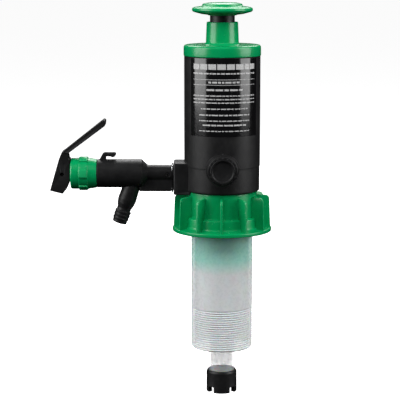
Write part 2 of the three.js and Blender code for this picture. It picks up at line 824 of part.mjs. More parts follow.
addPiece("pump_body", pumpBody(), black);
addPiece("label_plate", labelPlate(), film);
addPiece("port_plug", portPlug(), black);
addPiece("port_plug_oring", turnedToFront(ringSection(10.35, 41.35, 0.85), PARTING_Z, 20), rubber);
addPiece("top_cap", topCap(), green);
addPiece("cap_oring", turned(ringSection(32.1, 281.8, 1.05), INNER_FACETS), rubber);
addPiece("rod_bush", rodBush(), natural);
addPiece("rod_wiper", turned(tube(13.6, ROD_R + 0.25, 314.9, 318.6), INNER_FACETS), rubber);

addPiece("plunger_knob", plungerKnob(), green);
addPiece("plunger_rod", plungerRod(), black);
addPiece("piston_head", pistonHead(), black);
addPiece("piston_cup", pistonCup(), rubber);
addPiece("piston_bolt", pistonBolt(), steel);

const cylinder = tube(CYLINDER_R, CYLINDER_BORE_R, MANIFOLD_TOP + GAP, 289.6);
addPiece("air_cylinder", turned(cylinder, INNER_FACETS), green);
addPiece("riser_sleeve", riserSleeve(), natural);
addPiece("sleeve_oring", turned(ringSection(32.1, FLOOR_TOP + 2.2, 0.8), INNER_FACETS), rubber);
addPiece("foot_manifold", footManifold(), natural);
addPiece("valve_plate", valvePlate(), natural);
addPiece("air_check_valve", airCheckValve(), rubber);
const siphon = tube(SIPHON_R, SIPHON_BORE_R, SIPHON_BOTTOM + 12.4, MANIFOLD_BOTTOM - 2.4);
addPiece("siphon_tube", turned(siphon, INNER_FACETS), natural);
addPiece("siphon_foot", siphonFoot(), black);

addPiece("threaded_extension", threadedExtension(), natural);
const gasket = tube(31.6, 27, EXTENSION_TOP + GAP, SPIGOT_BOTTOM - GAP);
addPiece("extension_gasket", turned(gasket, INNER_FACETS), rubber);
addPiece("union_nut", unionNut(), green);

addPiece("outlet_spigot", outletSpigot(), natural);
addPiece("spigot_oring_tap", turnedAlongX(ringSection(6.12, -62, 0.38), TAP_Z, 16), rubber);
addPiece("spigot_oring_body", turnedAlongX(ringSection(6.12, -41, 0.38), TAP_Z, 16), rubber);
addPiece("retaining_clip", retainingClip(), steel);
addPiece("shank_screw", shankScrew(), black);
addPiece("tap_body", tapBody(), black);
addPiece("tap_nut", tapNut(), green);
addPiece("tap_spring", tapSpring(), steel);
addPiece("valve_stem", valveStem(), natural);
addPiece("stem_oring", turnedAlongX(ringSection(8.85, -107, 0.85), TAP_Z), rubber);
addPiece("valve_disc", turnedAlongX(tube(7, 2.3, -84.2, -80.4), TAP_Z), rubber);
addPiece("lever", lever(), black);
addPiece("lever_pin", pinAlongY(PIN_R, PIVOT_X, TAP_Z, -6.8, 6.8, 24), black);

export default pump;
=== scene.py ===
"""Looks for a hand-operated drum pump: moulded green and black plastic, a glossy label, a milky extension.

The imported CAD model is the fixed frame. Each piece here stands for a CAD node in finer detail and rides its
body, except the label's print, which is an addition. The axes are the frame's own: +Z up the pump, the tap
towards -X, the label towards -Y. Lengths are in metres, except in outlines, in constants of single parts and
in what says millimetres.
"""

import json
import math
import random

import bmesh
import bpy
from mathutils import Matrix, Vector


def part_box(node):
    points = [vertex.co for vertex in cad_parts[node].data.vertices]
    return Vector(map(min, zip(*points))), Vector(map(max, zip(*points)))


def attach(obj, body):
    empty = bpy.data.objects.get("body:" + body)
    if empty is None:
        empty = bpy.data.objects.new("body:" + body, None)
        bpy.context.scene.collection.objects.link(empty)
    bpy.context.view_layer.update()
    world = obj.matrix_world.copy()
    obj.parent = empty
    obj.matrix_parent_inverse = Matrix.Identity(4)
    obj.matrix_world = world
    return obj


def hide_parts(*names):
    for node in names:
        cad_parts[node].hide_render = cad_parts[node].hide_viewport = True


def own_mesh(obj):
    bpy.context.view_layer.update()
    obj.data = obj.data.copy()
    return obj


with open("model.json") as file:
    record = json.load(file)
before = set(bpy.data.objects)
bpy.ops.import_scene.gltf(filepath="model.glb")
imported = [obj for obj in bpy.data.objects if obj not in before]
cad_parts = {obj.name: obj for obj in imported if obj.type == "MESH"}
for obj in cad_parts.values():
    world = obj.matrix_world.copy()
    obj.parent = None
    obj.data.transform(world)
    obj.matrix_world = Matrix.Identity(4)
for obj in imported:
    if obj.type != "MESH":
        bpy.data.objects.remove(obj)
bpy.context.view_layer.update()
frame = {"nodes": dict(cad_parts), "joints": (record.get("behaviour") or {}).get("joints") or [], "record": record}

MM = 0.001
ROUND = 144  # sides of a large turned piece
SMALL_ROUND = 64  # sides of a small one
X, Y, Z = 0, 1, 2


# ---- Measures read from the frame ---------------------------------------------------------------

def span(node, axis):
    """The lowest and highest coordinate of a node along one axis."""
    low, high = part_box(node)
    return low[axis], high[axis]


body_low, body_high = span("pump_body", Z)
body_r = span("pump_body", X)[1]
port_z = sum(span("port_plug", Z)) / 2
tap_z = sum(span("valve_disc", Z)) / 2
label_low, label_high = span("label_plate", Z)
cap_low, cap_high = span("top_cap", Z)
cap_r = span("top_cap", X)[1]
knob_high = span("plunger_knob", Z)[1]
knob_r = span("plunger_knob", X)[1]
nut_low, nut_high = span("union_nut", Z)
nut_r = span("union_nut", X)[1]
bead_r = span("threaded_extension", X)[1]
extension_high = span("threaded_extension", Z)[1]
floor_z = span("siphon_foot", Z)[0]
cylinder_foot = span("air_cylinder", Z)[0]
pivot = Vector(next(j["pos_m"] for j in frame["joints"] if j["name"] == "lever_hinge"))


# ---- Camera, lights and floor -------------------------------------------------------------------

def make_camera():
    """A long lens, a little above the knob and tilted a little down."""
    data = bpy.data.cameras.new("camera")
    data.sensor_width = 36
    data.lens = 136.3
    data.clip_end = 100
    camera = bpy.data.objects.new("camera", data)
    camera.location = (-0.0216, -1.47, knob_high + 0.045)
    camera.rotation_euler = (math.radians(90 - 9.2), 0, 0)
    bpy.context.scene.collection.objects.link(camera)
    bpy.context.scene.camera = camera


def softbox(name, azimuth, distance, height, width, tall, power, reflected=True):
    """A flat light aimed at the pump's middle. Azimuth is in degrees from -Y towards +X, power in watts."""
    data = bpy.data.lights.new(name, "AREA")
    data.shape = "RECTANGLE"
    data.size = width
    data.size_y = tall
    data.energy = power
    light = bpy.data.objects.new(name, data)
    a = math.radians(azimuth)
    light.location = (distance * math.sin(a), -distance * math.cos(a), height)
    aim = Vector((0, 0, 0.18)) - light.location
    light.rotation_mode = "QUATERNION"
    light.rotation_quaternion = aim.to_track_quat("-Z", "Y")
    light.visible_glossy = reflected
    bpy.context.scene.collection.objects.link(light)


def make_world():
    """White, seen directly and through clear plastic, but lighting nothing: the softboxes do that."""
    world = bpy.data.worlds.new("studio")
    bpy.context.scene.world = world
    world.use_nodes = True
    background = world.node_tree.nodes["Background"]
    background.inputs["Color"].default_value = (1, 1, 1, 1)
    background.inputs["Strength"].default_value = 1.0
    world.cycles_visibility.diffuse = False
    world.cycles_visibility.glossy = False


def make_floor():
    """White paper that the camera sees, and that neither lights the pump nor shows in its gloss."""
    mesh = bpy.data.meshes.new("floor")
    half = 40
    z = floor_z - 0.0002
    corners = [(-half, -half, z), (half, -half, z), (half, half, z), (-half, half, z)]
    mesh.from_pydata(corners, [], [(0, 1, 2, 3)])
    floor = bpy.data.objects.new("floor", mesh)
    bpy.context.scene.collection.objects.link(floor)
    material = bpy.data.materials.new("floor_paper")
    material.use_nodes = True
    shader = material.node_tree.nodes["Principled BSDF"]
    shader.inputs["Base Color"].default_value = (0.85, 0.85, 0.85, 1)
    shader.inputs["Roughness"].default_value = 0.9
    shader.inputs["Emission Color"].default_value = (1, 1, 1, 1)
    shader.inputs["Emission Strength"].default_value = 0.96
    mesh.materials.append(material)
    floor.visible_diffuse = False
    floor.visible_glossy = False


# ---- Materials ----------------------------------------------------------------------------------

class Surface:
    """A principled material with helpers for the few node patterns that the pump's surfaces share."""

    def __init__(self, name, **constants):
        self.material = bpy.data.materials.new(name)
        self.material.use_nodes = True
        self.tree = self.material.node_tree
        self.shader = self.tree.nodes["Principled BSDF"]
        self.coords = self.tree.nodes.new("ShaderNodeTexCoord")
        for key, value in constants.items():
            self.shader.inputs[key.replace("_", " ")].default_value = value

    def noise(self, size, detail=3.0, stretch=(1, 1, 1)):
        """Noise with features of about one size, in metres, in the object's own space."""
        mapping = self.tree.nodes.new("ShaderNodeMapping")
        mapping.inputs["Scale"].default_value = stretch
        texture = self.tree.nodes.new("ShaderNodeTexNoise")
        texture.inputs["Scale"].default_value = 1 / size
        texture.inputs["Detail"].default_value = detail
        self.tree.links.new(self.coords.outputs["Object"], mapping.inputs["Vector"])
        self.tree.links.new(mapping.outputs["Vector"], texture.inputs["Vector"])
        return texture.outputs["Fac"]

    def ramp(self, source, low, high, to_low=0.0, to_high=1.0):
        """A source's range from low to high, stretched to another range and held at its ends."""
        node = self.tree.nodes.new("ShaderNodeMapRange")
        node.inputs["From Min"].default_value = low
        node.inputs["From Max"].default_value = high
        node.inputs["To Min"].default_value = to_low
        node.inputs["To Max"].default_value = to_high
        self.tree.links.new(source, node.inputs["Value"])
        return node.outputs["Result"]

    def mix(self, factor, first, second):
        """A mix of two colours, each a tuple or a socket."""
        node = self.tree.nodes.new("ShaderNodeMix")
        node.data_type = "RGBA"
        self.tree.links.new(factor, node.inputs["Factor"])
        for socket, colour in ((node.inputs[6], first), (node.inputs[7], second)):
            if isinstance(colour, tuple):
                socket.default_value = (*colour, 1)
            else:
                self.tree.links.new(colour, socket)
        return node.outputs[2]

    def height(self):
        """The height of a point, in metres, in the object's own space."""
        node = self.tree.nodes.new("ShaderNodeSeparateXYZ")
        self.tree.links.new(self.coords.outputs["Object"], node.inputs["Vector"])
        return node.outputs["Z"]

    def edges(self):
        """1 on convex edges and 0 elsewhere."""
        geometry = self.tree.nodes.new("ShaderNodeNewGeometry")
        return self.ramp(geometry.outputs["Pointiness"], 0.53, 0.60)

    def colour(self, source):
        self.tree.links.new(source, self.shader.inputs["Base Color"])

    def roughness(self, source):
        self.tree.links.new(source, self.shader.inputs["Roughness"])

    def bump(self, *layers):
        """Bump from (source, height) pairs, the height in metres."""
        last = None
        for source, height in layers:
            node = self.tree.nodes.new("ShaderNodeBump")
            node.inputs["Distance"].default_value = height
            self.tree.links.new(source, node.inputs["Height"])
            if last:
                self.tree.links.new(last, node.inputs["Normal"])
            last = node.outputs["Normal"]
        self.tree.links.new(last, self.shader.inputs["Normal"])


def green_plastic(name, dark=(0.000, 0.275, 0.084), light=(0.002, 0.300, 0.095)):
    """Moulded polypropylene: even colour, a soft gloss, faint flow marks, and convex edges painted paler as a
    painted highlight.
    """
    s = Surface(name, Specular_IOR_Level=0.5, Subsurface_Weight=0.08, Subsurface_Scale=0.002)
    cloudy = s.noise(0.018, 3)
    grain = s.noise(0.0006, 2)
    base = s.mix(s.ramp(cloudy, 0.3, 0.7), dark, light)
    # Convex edges are painted a paler green: a painted highlight.
    s.colour(s.mix(s.edges(), base, (0.03, 0.42, 0.17)))
    s.roughness(s.ramp(s.noise(0.004, 4), 0.3, 0.7, 0.19, 0.28))
    s.bump((grain, 0.00002), (cloudy, 0.00004))
    return s.material


def black_plastic():
    """Satin black moulding with a fine spark-eroded texture, and convex edges painted a little grey: partly rubbed
    wear, partly a painted highlight.
    """
    s = Surface("black_plastic", Specular_IOR_Level=0.32)
    cloudy = s.noise(0.012, 4)
    grain = s.noise(0.00045, 3)
    base = s.mix(s.ramp(cloudy, 0.3, 0.7), (0.0075, 0.0075, 0.008), (0.013, 0.013, 0.0135))
    # Convex edges are painted a little grey: partly rubbed wear, partly a painted highlight.
    s.colour(s.mix(s.edges(), base, (0.035, 0.035, 0.037)))
    s.roughness(s.ramp(s.noise(0.003, 5), 0.3, 0.7, 0.36, 0.50))
    s.bump((grain, 0.00006), (cloudy, 0.0001))
    return s.material


def natural_plastic(name, haze, low=(0.70, 0.73, 0.75), high=(0.76, 0.78, 0.80), painted_core_light=None):
    """Uncoloured polyethylene, milky and half clear. Above the green cylinder's foot it can be painted a given
    green: painted light, standing for the cylinder seen through the wall.
    """
    s = Surface(name, Specular_IOR_Level=0.5, Subsurface_Weight=0.3, Subsurface_Scale=0.003, Alpha=haze)
    cloudy = s.noise(0.01, 3, (1, 1, 0.2))
    colour = s.mix(s.ramp(cloudy, 0.3, 0.7), low, high)
    # Painted light: above the cylinder's foot the colour turns to the given green, which stands for the green
    # cylinder seen through the milky wall.
    if painted_core_light:
        above = s.ramp(s.height(), cylinder_foot - 0.015, cylinder_foot - 0.002)
        colour = s.mix(above, colour, painted_core_light)
    s.colour(colour)
    s.roughness(s.ramp(s.noise(0.003, 4), 0.3, 0.7, 0.24, 0.32))
    s.bump((s.noise(0.0008, 2), 0.00002), (cloudy, 0.00006))
    return s.material


def rubber():
    """Dull black rubber."""
    s = Surface("rubber", Specular_IOR_Level=0.3)
    s.colour(s.mix(s.noise(0.002, 4), (0.008, 0.008, 0.008), (0.022, 0.021, 0.020)))
    s.roughness(s.ramp(s.noise(0.001, 4), 0.3, 0.7, 0.62, 0.85))
    s.bump((s.noise(0.0004, 3), 0.00004))
    return s.material


def stainless():
    """Bright stainless wire, drawn along its length."""
    s = Surface("stainless", Metallic=1.0)
    streaks = s.noise(0.0006, 3, (1, 0.15, 1))
    s.colour(s.mix(streaks, (0.50, 0.51, 0.52), (0.72, 0.73, 0.74)))
    s.roughness(s.ramp(streaks, 0.3, 0.7, 0.16, 0.32))
    s.bump((streaks, 0.00002))
    return s.material


def label_film():
    """Glossy film stuck to the body, nearly flat, with the slightest waviness."""
    s = Surface("label_film", Specular_IOR_Level=0.4, Coat_Weight=0.55, Coat_Roughness=0.1)
    s.colour(s.mix(s.noise(0.006, 4), (0.0035, 0.0035, 0.0038), (0.006, 0.006, 0.0065)))
    s.roughness(s.ramp(s.noise(0.002, 5), 0.3, 0.7, 0.12, 0.18))
    s.bump((s.noise(0.008, 2), 0.00003), (s.noise(0.0005, 2), 0.000005))
    return s.material


def label_ink():
    """Grey ink, a little uneven."""
    s = Surface("label_ink", Specular_IOR_Level=0.4)
    s.colour(s.mix(s.ramp(s.noise(0.0006, 3), 0.35, 0.6), (0.34, 0.34, 0.34), (0.56, 0.56, 0.56)))
    s.roughness(s.ramp(s.noise(0.001, 3), 0.3, 0.7, 0.30, 0.45))
    s.bump((s.noise(0.0004, 2), 0.00001))
    return s.material


# ---- Mesh helpers -------------------------------------------------------------------------------

def rounded(points, closed, steps=5):
    """An outline whose corners with a third number are rounded by that radius."""
    result = []
    count = len(points)
    for i, point in enumerate(points):
        here = Vector(point[:2])
        radius = point[2] if len(point) > 2 else 0
        if radius <= 0 or (not closed and i in (0, count - 1)):
            result.append(here)
            continue
        back = Vector(points[i - 1][:2]) - here
        ahead = Vector(points[(i + 1) % count][:2]) - here
        half_angle = back.angle(ahead) / 2
        reach = min(radius / math.tan(half_angle), back.length * 0.49, ahead.length * 0.49)
        start = here + back.normalized() * reach
        end = here + ahead.normalized() * reach
        for k in range(steps + 1):
            t = k / steps
            result.append(start * (1 - t) ** 2 + here * (2 * t * (1 - t)) + end * t ** 2)
    return result


def make_object(name, mesh):
    made = bpy.data.objects.new(name, mesh)
    bpy.context.scene.collection.objects.link(made)
    return made


def from_bmesh(name, bm):
    """Makes an object of a finished bmesh, with its faces turned outwards."""
    bmesh.ops.recalc_face_normals(bm, faces=bm.faces)
    mesh = bpy.data.meshes.new(name)
    bm.to_mesh(mesh)
    bm.free()
    return make_object(name, mesh)


def turned(name, outline, closed=False, sides=ROUND, place=Matrix.Identity(4)):
    """An outline of (radius, height[, corner radius]) in millimetres, turned about its height axis."""
    points = [p * MM for p in rounded(outline, closed)]
    bm = bmesh.new()
    rings = []
    for p in points:
        if p.x < 1e-7:
            rings.append([bm.verts.new(place @ Vector((0, 0, p.y)))])
            continue
        ring = []
        for i in range(sides):
            a = 2 * math.pi * i / sides
            ring.append(bm.verts.new(place @ Vector((p.x * math.cos(a), p.x * math.sin(a), p.y))))
        rings.append(ring)
    pairs = list(zip(rings, rings[1:]))
    if closed:
        pairs.append((rings[-1], rings[0]))
    for lower, upper in pairs:
        for i in range(sides):
            j = (i + 1) % sides
            below = [lower[i % len(lower)], lower[j % len(lower)]]
            above = [upper[j % len(upper)], upper[i % len(upper)]]
            corners = list(dict.fromkeys(below + above))
            if len(corners) > 2:
                bm.faces.new(corners)
    return from_bmesh(name, bm)


def prism(name, outline, width, steps=5):
    """An outline of (x, z[, corner radius]) in millimetres, with a width along Y centred on Y = 0."""
    points = [p * MM for p in rounded(outline, True, steps)]
    half = width * MM / 2
    bm = bmesh.new()
    near = [bm.verts.new((p.x, -half, p.y)) for p in points]
    far = [bm.verts.new((p.x, half, p.y)) for p in points]
    bm.faces.new(near)
    bm.faces.new(far[::-1])
    for i in range(len(points)):
        j = (i + 1) % len(points)
        bm.faces.new([near[j], near[i], far[i], far[j]])
    return from_bmesh(name, bm)


def block(name, low, high):
    """A plain box between two corners in millimetres, used as a cutter or as a start for bevelled work."""
    low = Vector(low) * MM
    high = Vector(high) * MM
    place = Matrix.Translation((low + high) / 2) @ Matrix.Diagonal((*(high - low), 1))
    bm = bmesh.new()
    bmesh.ops.create_cube(bm, size=1)
    bmesh.ops.transform(bm, verts=bm.verts, matrix=place)
    return from_bmesh(name, bm)


def apply_modifiers(piece):
    """Makes what a piece's modifiers do part of its mesh."""
    graph = bpy.context.evaluated_depsgraph_get()
    made = bpy.data.meshes.new_from_object(piece.evaluated_get(graph))
    piece.modifiers.clear()
    piece.data = made
    return piece


def combine(piece, other, operation):
    """Joins or cuts with another object, which is used up."""
    modifier = piece.modifiers.new("combine", "BOOLEAN")
    modifier.operation = operation
    modifier.solver = "EXACT"
    modifier.object = other
    apply_modifiers(piece)
    bpy.data.objects.remove(other)
    return piece


def join(piece, *others):
    for other in others:
        combine(piece, other, "UNION")
    return piece


def cut(piece, *others):
    for other in others:
        combine(piece, other, "DIFFERENCE")
    return piece


def soften(piece, width, angle=35, segments=3):
    """Rounds a piece's sharp edges."""
    modifier = piece.modifiers.new("soften", "BEVEL")
    modifier.width = width * MM
    modifier.segments = segments
    modifier.limit_method = "ANGLE"
    modifier.angle_limit = math.radians(angle)
    modifier.use_clamp_overlap = True
    return apply_modifiers(piece)


def cast(piece, voxel, passes):
    """Makes one even skin of a piece and relaxes it, so that its inside corners have a moulding's radii."""
    remesh = piece.modifiers.new("cast", "REMESH")
    remesh.mode = "VOXEL"
    remesh.voxel_size = voxel * MM
    relax = piece.modifiers.new("relax", "SMOOTH")
    relax.factor = 0.5
    relax.iterations = passes
    return apply_modifiers(piece)


def complete(piece, body, replaced, material, smooth_angle=32):
    """Gives a piece its material and shading, hangs it on its body and hides the CAD nodes it stands for."""
    piece.data.materials.clear()
    piece.data.materials.append(material)
    piece.data.shade_smooth()
    piece.data.set_sharp_from_angle(angle=math.radians(smooth_angle))
    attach(piece, body)
    if replaced:
        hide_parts(*replaced)
    return piece


ALONG_X = Matrix.Rotation(math.pi / 2, 4, "Y")  # a turned piece's height becomes +X
TO_FRONT = Matrix.Rotation(math.pi / 2, 4, "X")  # a turned piece's height becomes -Y


def on_tap_axis():
    return Matrix.Translation((0, 0, tap_z)) @ ALONG_X


def on_port_axis():
    return Matrix.Translation((0, 0, port_z)) @ TO_FRONT


def along_y(name, radius, x, z, y0, y1, sides=32):
    """A round pin or hole along Y, in millimetres."""
    place = Matrix.Translation((x * MM, 0, z * MM)) @ TO_FRONT
    return turned(name, [(0, -y1), (radius, -y1), (radius, -y0), (0, -y0)], False, sides, place)


# ---- Pump body, port and label ------------------------------------------------------------------

def make_body(black):
    """A cylinder with a seam round it, the tap's block at one side and the port's boss in front."""
    r = body_r / MM
    low = body_low / MM
    high = body_high / MM
    shoulder = low + 20.4
    floor = shoulder + 5.6
    seam = port_z / MM
    wall = 3.5
    hole = 26.1
    neck_r = 31.9
    below_seam = r - 0.4
    # The rows of points along the wall keep its faces short.
    rows = [1.5 * step for step in range(14)]
    shell = turned("body_shell", [
        (hole, low), (neck_r, low, 0.6), (neck_r, shoulder, 0.4), (below_seam, shoulder, 1.3),
        *[(below_seam, shoulder + 2.5 + row) for row in rows],
        (below_seam, seam - 0.15, 0.1), (r, seam + 0.25, 0.1),
        *[(r, seam + 1.8 + row) for row in rows],
        (r, high, 0.5), (r - wall, high, 0.3), (r - wall, floor), (hole, floor),
    ], True)
    boss = turned("boss", [
        (0, 30), (16.4, 30), (16.0, 35.4, 2), (14.5, 38.2, 3), (14.4, 47, 1.0), (0, 47),
    ], False, ROUND, on_port_axis())
    left = span("pump_body", X)[0] / MM
    half = 15.6
    middle = 169.6
    outlet = block("outlet", (left, -half, middle - half), (-26, half, middle + half))
    soften(outlet, 1.6, 30, 4)
    cavity = turned("cavity", [(0, floor), (r - wall, floor), (r - wall, high), (0, high)])
    neck = turned("neck", [(0, low - 5), (34.9, low - 5), (34.9, shoulder), (0, shoulder)])
    cut(outlet, neck)
    join(boss, outlet)
    cut(boss, cavity)
    join(shell, boss)
    bore = turned("bore", [
        (0, 20), (9.5, 20), (9.5, 40.2), (12.4, 40.2), (12.4, 60), (0, 60),
    ], False, SMALL_ROUND, on_port_axis())
    outlet_bore = turned("outlet_bore", [
        (0, left - 1), (6.7, left - 1), (6.7, -20), (0, -20),
    ], False, SMALL_ROUND, on_tap_axis())
    cut(shell, bore, outlet_bore)
    complete(shell, "pump", ["pump_body"], black)


def make_port_plug(black):
    """A plug with a dished face, set in the boss."""
    plug = turned("port_plug_head", [
        (0, 32), (9.1, 32), (9.1, 42.5), (12, 42.5), (12, 49.4, 0.7), (10.4, 49.4, 0.5),
        (9.6, 48.0, 0.6), (6, 47.5, 4), (0, 47.3),
    ], False, SMALL_ROUND * 2, on_port_axis())
    complete(plug, "pump", ["port_plug"], black)


PATCH_STEP = 1.5 * MM  # the longest face of a patch, round the body


def curved_patch(bm, centre_angle, width, low, high, inner, outer):
    """A thin closed patch on the body's front: angles in radians from -Y towards +X, lengths in metres."""
    half = width / outer / 2
    count = max(2, math.ceil(width / PATCH_STEP))
    columns = []
    for i in range(count + 1):
        a = centre_angle - half + 2 * half * i / count
        columns.append([
            bm.verts.new((r * math.sin(a), -r * math.cos(a), z))
            for r, z in ((inner, low), (outer, low), (outer, high), (inner, high))
        ])
    for one, two in zip(columns, columns[1:]):
        for k in range(4):
            m = (k + 1) % 4
            bm.faces.new([one[k], two[k], two[m], one[m]])
    bm.faces.new(columns[0])
    bm.faces.new(columns[-1][::-1])


LABEL_MIDDLE = math.radians(3)
LABEL_TURN = math.radians(114)


def make_label(film):
    """The film round the front of the body."""
    bm = bmesh.new()
    outer = body_r + 0.25 * MM
    curved_patch(bm, LABEL_MIDDLE, LABEL_TURN * outer, label_low, label_high, body_r - 0.05 * MM, outer)
    complete(from_bmesh("label_sheet", bm), "pump", ["label_plate"], film)


# Rules and rows are placed by their height up the label, as a share of the label's own. The rest is in
# millimetres: a row's height, half its length, its shortest and longest dash, and the gap between dashes.
RULE_LEVELS = (0.732, 0.664)
RULE_HEIGHT = 0.45
RULE_LENGTH = 66
PRINT_ROWS = [
    (0.895, 5.2, 33, 5.2, 8.4, 1.1),
    (0.809, 1.3, 33, 1.6, 6.0, 0.8),
    (0.697, 1.7, 16, 2.2, 6.4, 1.0),
    (0.600, 1.7, 18, 2.6, 8.0, 1.2),
    (0.525, 1.05, 33, 1.4, 5.4, 0.8),
    (0.480, 1.05, 33, 1.4, 5.4, 0.8),
    (0.435, 1.05, 33, 1.4, 5.4, 0.8),
    (0.357, 1.05, 24, 1.4, 5.4, 0.8),
    (0.277, 1.2, 26, 1.6, 6.4, 0.9),
    (0.203, 1.0, 26, 1.4, 5.4, 0.8),
    (0.147, 1.35, 22, 3.0, 9.0, 0.9),
    (0.072, 0.9, 26, 1.4, 5.0, 0.8),
]


def make_print(ink):
    """Rows of plain dashes in the places of a heading, two rules and small text: it says nothing."""
    chance = random.Random(5)
    tall = label_high - label_low
    inner = body_r + 0.2 * MM
    outer = body_r + 0.28 * MM
    bm = bmesh.new()

    def patch(at, width, level, height):
        z = label_low + level * tall
        curved_patch(bm, LABEL_MIDDLE + at / outer, width, z - height / 2, z + height / 2, inner, outer)

    for level in RULE_LEVELS:
        patch(0, RULE_LENGTH * MM, level, RULE_HEIGHT * MM)
    for level, *sizes in PRINT_ROWS:
        height, half_width, shortest, longest, gap = (size * MM for size in sizes)
        x = -half_width
        while x < half_width - 0.5 * MM:
            width = min(chance.uniform(shortest, longest), half_width - x)
            patch(x + width / 2, width, level, height)
            x += width + gap
    complete(from_bmesh("label_print", bm), "pump", [], ink)


# ---- Cap and plunger ----------------------------------------------------------------------------

def make_cap(green):
    """A skirted cap with a neck round the plunger and four sockets in its top."""
    top = 299.2
    base = 288.6
    high = cap_high / MM
    low = cap_low / MM
    r = cap_r / MM
    cap = turned("cap_shell", [
        (19.3, low + 2), (22.4, low + 2), (22.4, base), (30.2, base), (30.2, low), (33.2, low), (33.2, base),
        (r, base, 0.7), (r, top, 3.0), (17.4, top, 1.6), (15.95, top + 2.2, 1.6), (15.2, high, 0.9),
        (12.5, high, 0.5), (12.5, high - 2), (14, high - 2), (14, 291.6), (19.3, 291.6),
    ], True)
    for i in range(4):
        a = math.pi / 4 + i * math.pi / 2
        place = Matrix.Translation((31 * MM * math.cos(a), 31 * MM * math.sin(a), 0))
        hole = [(0, top - 3.5), (2.2, top - 3.5), (2.2, top + 3), (0, top + 3)]
        cut(cap, turned("socket", hole, False, 32, place))
    complete(cap, "pump", ["top_cap"], green)


def make_knob(green):
    """A flat hub, a wide rim and a raised middle, from the hub's inside to the top."""
    top = knob_high / MM
    r = knob_r / MM
    knob = turned("knob_shell", [
        (0, top - 5.4), (12.3, top - 5.4), (12.3, top - 12.6, 0.3), (13.7, top - 12.6, 0.5),
        (14.4, top - 12.1, 0.8), (20.5, top - 11.3, 6), (r - 1.2, top - 9.2, 2.4), (r, top - 7.8, 1.2),
        (r - 0.4, top - 5.5, 1.6), (r - 2.4, top - 4.7, 1.6), (20.4, top - 3.7, 0.9), (19.5, top - 3.1, 0.7),
        (19.1, top - 1.6, 1.6), (14, top - 0.5, 8), (0, top),
    ])
    complete(knob, "plunger", ["plunger_knob"], green)


def make_rod(black):
    """The plunger's tube."""
    low, high = (v / MM for v in span("plunger_rod", Z))
    r = span("plunger_rod", X)[1] / MM
    rod = turned("plunger_tube", [(9.4, low), (r, low, 0.4), (r, high, 0.4), (9.4, high)], True)
    complete(rod, "plunger", ["plunger_rod"], black)


# ---- Union nut and extension --------------------------------------------------------------------

FINS = 12


def make_union_nut(green):
    """A ring with a flange at its foot and fins round it, hollow where it goes over the bead."""
    low = nut_low / MM
    high = nut_high / MM
    r = nut_r / MM
    bore = bead_r / MM + 0.3
    ledge = extension_high / MM - 6
    ring = turned("union_nut_shell", [
        (30.5, low, 0.4), (r, low, 0.9), (r, low + 3.5, 1.0), (39.4, low + 4.2, 2.0), (38.4, low + 6.2, 2.0),
        (38.0, 131.8, 1.3), (34.2, 132.3, 0.9), (34.2, high, 0.8), (bore, high, 0.3), (bore, ledge),
        (30.5, ledge),
    ], True)
    fins = None
    for i in range(FINS):
        fin = prism("fin", [
            (33, low + 2), (r - 0.9, low + 2), (r - 2.2, 152.0, 4.5), (33, 153.2),
        ], 2.3, 8)
        soften(fin, 0.55, 40, 3)
        fin.data.transform(Matrix.Rotation(math.radians(360 / FINS * i - 91.5), 4, "Z"))
        fins = join(fins, fin) if fins else fin
    cut(fins, turned("hollow", [(0, low), (bore + 0.6, low), (bore + 0.6, high + 5), (0, high + 5)]))
    join(ring, fins)
    complete(ring, "union_nut", ["union_nut"], green)


THREAD_PITCH = 25.4 / 11.5
THREAD_DEPTH = 1.15
THREAD_FOOT = 0.6
THREAD_TOP = 42.0
THREAD_ROWS = 8  # rows of vertices in one pitch


def thread_depth(z, angle):
    """How far the thread is cut in at a height and an angle, in millimetres. It fades in and out."""
    phase = (z / THREAD_PITCH - angle / (2 * math.pi)) % 1
    groove = 1 - min(1, abs(phase - 0.5) * 2 / 0.85)
    fade_in = max(0, z - 0.3) / 1.5
    fade_out = max(0, THREAD_TOP - z) / 2.2
    return THREAD_DEPTH * groove * min(1, fade_in, fade_out)


def make_extension(natural):
    """The milky tube, with a real helical thread at its foot and a bead that the nut lifts."""
    high = extension_high / MM
    bead = bead_r / MM
    bead_low = high - 5.7
    r = 30.15
    bore = 26.5
    count = int((THREAD_TOP - THREAD_FOOT) / THREAD_PITCH * THREAD_ROWS) + 2
    rows = [THREAD_FOOT + i * THREAD_PITCH / THREAD_ROWS for i in range(count)]
    plain = rounded([
        (r, rows[-1] + 0.4), (r, bead_low, 1.2), (bead, bead_low, 0.4), (bead, high, 0.4),
        (bore, high, 0.4), (bore, 0, 0.4), (r - 1.4, 0, 0.3),
    ], False)
    bm = bmesh.new()

    def ring(z, radius_at):
        """A ring of vertices at a height, with a radius for each angle, in millimetres."""
        made = []
        for i in range(ROUND):
            a = 2 * math.pi * i / ROUND
            radius = radius_at(a) * MM
            made.append(bm.verts.new((radius * math.cos(a), radius * math.sin(a), z * MM)))
        return made

    def threaded(z):
        """A ring of the threaded stretch, whose first turn tapers in."""
        taper = max(0, 1.6 - z) * 0.6
        return ring(z, lambda a: r - thread_depth(z, a) - taper)

    rings = [threaded(z) for z in rows]
    rings += [ring(p.y, lambda a: p.x) for p in plain]
    for lower, upper in zip(rings, rings[1:] + rings[:1]):
        for i in range(ROUND):
            j = (i + 1) % ROUND
            bm.faces.new([lower[i], lower[j], upper[j], upper[i]])
    tube = from_bmesh("extension_tube", bm)
    complete(tube, "pump", ["threaded_extension"], natural, 60)


def make_pipe(name, node, wall, material):
    """A plain tube that stands for a CAD tube, with its outside and its ends read from the node."""
    low, high = (v / MM for v in span(node, Z))
    outer = span(node, X)[1] / MM
    inner = outer - wall
    pipe = turned(name, [(inner, low), (outer, low, 0.3), (outer, high, 0.3), (inner, high)], True)
    complete(pipe, "pump", [node], material)


